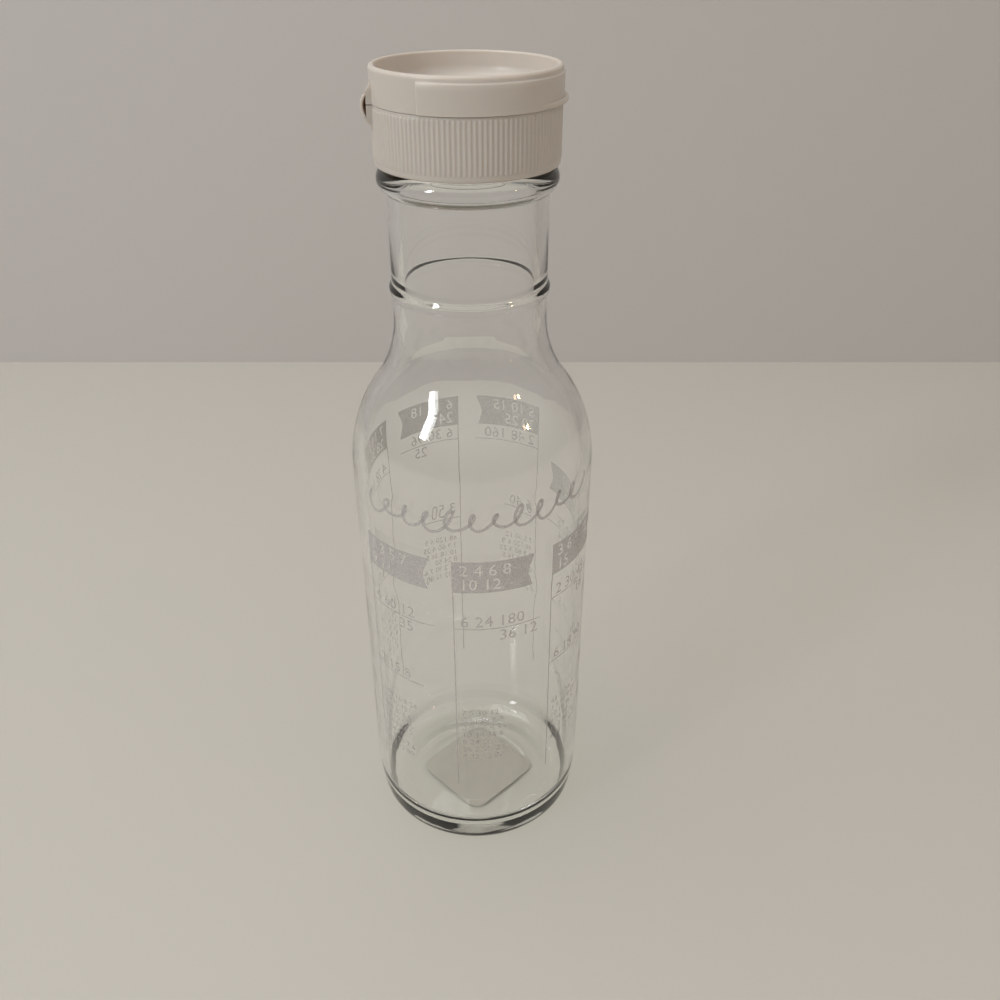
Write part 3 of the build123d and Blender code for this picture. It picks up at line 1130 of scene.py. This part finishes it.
def plastic_finish(name, pale, deep):
    """Warm white polypropylene: faint flow marks in its colour, and a fine moulded grain."""
    flow_scale, flow_detail = 140, 4.0
    sheen_scale, least_roughness, most_roughness = 500, 0.3, 0.38
    grain_scale, grain_height = 1600, 0.003 * mm
    material, tree, shader = shader_of(name)
    colour = blend_colours(tree, noise_on(tree, flow_scale, flow_detail), deep, pale)
    tree.links.new(colour, shader.inputs["Base Color"])
    sheen = between(tree, noise_on(tree, sheen_scale), least_roughness, most_roughness)
    tree.links.new(sheen, shader.inputs["Roughness"])
    shader.inputs["Subsurface Weight"].default_value = 0.5
    shader.inputs["Subsurface Radius"].default_value = (1.0, 0.8, 0.62)
    shader.inputs["Subsurface Scale"].default_value = 1.5 * mm
    shader.inputs["IOR"].default_value = 1.49
    add_bump(tree, shader, noise_on(tree, grain_scale), grain_height)
    return material


def foam_finish():
    """Soft white foam with open pores."""
    deep, pale = (0.74, 0.73, 0.69), (0.82, 0.81, 0.78)
    cloud_scale = 900
    pore_scale, pore_depth = 2200, 0.02 * mm
    material, tree, shader = shader_of("gasket_foam_finish")
    colour = blend_colours(tree, noise_on(tree, cloud_scale), deep, pale)
    tree.links.new(colour, shader.inputs["Base Color"])
    shader.inputs["Roughness"].default_value = 0.85
    add_bump(tree, shader, noise_on(tree, pore_scale), pore_depth)
    return material


def paper_finish():
    """Grey paper, a little stained, with its fibres."""
    deep, pale = (0.38, 0.35, 0.31), (0.46, 0.43, 0.38)
    stain_scale, stain_detail = 260, 5.0
    fibre_scale, fibre_detail, fibre_height = 1500, 4.0, 0.01 * mm
    material, tree, shader = shader_of("label_paper_finish")
    colour = blend_colours(tree, noise_on(tree, stain_scale, stain_detail), deep, pale)
    tree.links.new(colour, shader.inputs["Base Color"])
    shader.inputs["Roughness"].default_value = 0.8
    add_bump(tree, shader, noise_on(tree, fibre_scale, fibre_detail), fibre_height)
    return material


def ink_finish():
    """Pale ceramic ink that lets part of the light through, with a faint speckle."""
    deep, pale = (0.45, 0.425, 0.415), (0.53, 0.505, 0.495)
    cloud_scale, cloud_detail = 700, 3.0
    speckle_scale, thinnest, thickest = 1800, 0.36, 0.52
    material, tree, shader = shader_of("print_ink_finish")
    colour = blend_colours(tree, noise_on(tree, cloud_scale, cloud_detail), deep, pale)
    tree.links.new(colour, shader.inputs["Base Color"])
    shader.inputs["Roughness"].default_value = 0.36
    shader.inputs["Specular IOR Level"].default_value = 0.9
    speckle = between(tree, noise_on(tree, speckle_scale), thinnest, thickest)
    tree.links.new(speckle, shader.inputs["Alpha"])
    return material


def board_finish(name, pale, deep):
    """Plain painted board for the floor and the backdrop."""
    cloud_scale, cloud_detail = 3, 3.0
    material, tree, shader = shader_of(name)
    colour = blend_colours(tree, noise_on(tree, cloud_scale, cloud_detail), deep, pale)
    tree.links.new(colour, shader.inputs["Base Color"])
    shader.inputs["Roughness"].default_value = 0.6
    shader.inputs["Specular IOR Level"].default_value = 0.2
    return material


# Stage, lights and camera


def add_board(name, corners, material):
    """One flat four-sided board of the stage."""
    bm = bmesh.new()
    bm.faces.new([bm.verts.new(corner) for corner in corners])
    mesh = bpy.data.meshes.new(name)
    bm.to_mesh(mesh)
    bm.free()
    mesh.materials.append(material)
    board = bpy.data.objects.new(name, mesh)
    bpy.context.scene.collection.objects.link(board)


def make_stage():
    low, high = -stage_drop, stage_wall_height - stage_drop
    sides = (-stage_half_width, stage_half_width, stage_half_width, -stage_half_width)
    depths = (stage_front, stage_front, stage_back, stage_back)
    heights = (low, low, high, high)
    floor_paint = board_finish("floor_finish", (0.555, 0.535, 0.49), (0.535, 0.515, 0.47))
    wall_paint = board_finish("backdrop_finish", (0.56, 0.535, 0.515), (0.54, 0.515, 0.495))
    add_board("stage_floor", [(x, y, low) for x, y in zip(sides, depths)], floor_paint)
    add_board("stage_wall", [(x, stage_back, z) for x, z in zip(sides, heights)], wall_paint)


def make_lamp(name, place, size, power, colour):
    """A rectangular lamp that is turned towards the middle of the bottle."""
    data = bpy.data.lights.new(name, "AREA")
    data.shape = "RECTANGLE"
    data.size, data.size_y = size
    data.energy = power
    data.color = colour
    lamp = bpy.data.objects.new(name, data)
    lamp.location = place
    lamp.rotation_euler = (Vector(lamp_aim) - Vector(place)).to_track_quat("-Z", "Y").to_euler()
    bpy.context.scene.collection.objects.link(lamp)


def make_lights():
    """A window at the left, a ceiling light, a small warm light at the right, and the light of the room,
    which is darker towards the horizon."""
    make_lamp("window_lamp", (-0.9, -0.75, 0.8), size=(0.16, 0.42), power=5.6, colour=(0.94, 0.97, 1.0))
    make_lamp("ceiling_lamp", (-0.25, 0.2, 1.1), size=(1.2, 0.6), power=5.3, colour=(1.0, 0.985, 0.96))
    make_lamp("side_lamp", (0.8, -0.4, 0.55), size=(0.05, 0.06), power=0.5, colour=(1.0, 0.66, 0.4))
    world = bpy.data.worlds.new("room")
    world.use_nodes = True
    tree = world.node_tree
    background = tree.nodes["Background"]
    place = tree.nodes.new("ShaderNodeTexCoord")
    parts = tree.nodes.new("ShaderNodeSeparateXYZ")
    height = tree.nodes.new("ShaderNodeMapRange")
    height.interpolation_type = "SMOOTHSTEP"
    height.inputs["From Max"].default_value = room_full_height
    height.inputs["To Min"].default_value = room_low_strength
    height.inputs["To Max"].default_value = room_high_strength
    tree.links.new(place.outputs["Generated"], parts.inputs["Vector"])
    tree.links.new(parts.outputs["Z"], height.inputs["Value"])
    tree.links.new(height.outputs["Result"], background.inputs["Strength"])
    background.inputs["Color"].default_value = room_colour
    bpy.context.scene.world = world


def make_camera():
    data = bpy.data.cameras.new("camera")
    data.sensor_width = camera_sensor_width
    data.lens = camera_focal_length
    data.clip_start = camera_clip_start
    camera = bpy.data.objects.new("camera", data)
    camera.location = camera_place
    camera.rotation_euler = (camera_tilt, 0, 0)
    bpy.context.scene.collection.objects.link(camera)
    bpy.context.scene.camera = camera


def main():
    make_camera()
    make_lights()
    make_stage()
    plastic = plastic_finish("cap_plastic_finish", (0.575, 0.53, 0.48), (0.55, 0.505, 0.455))
    make_glass_bottle(glass_finish())
    make_gasket(foam_finish())
    make_label(paper_finish())
    make_screw_cap(plastic)
    make_hinge_strap(plastic)
    make_print(ink_finish())
    # The lid's plastic is a paler copy of the cap's plastic: painted light, so that its upward dish looks
    # lit from above.
    make_flip_lid(plastic_finish("lid_plastic_finish", (0.6, 0.55, 0.495), (0.575, 0.525, 0.47)))
    bpy.context.scene.view_settings.view_transform = "Standard"


main()
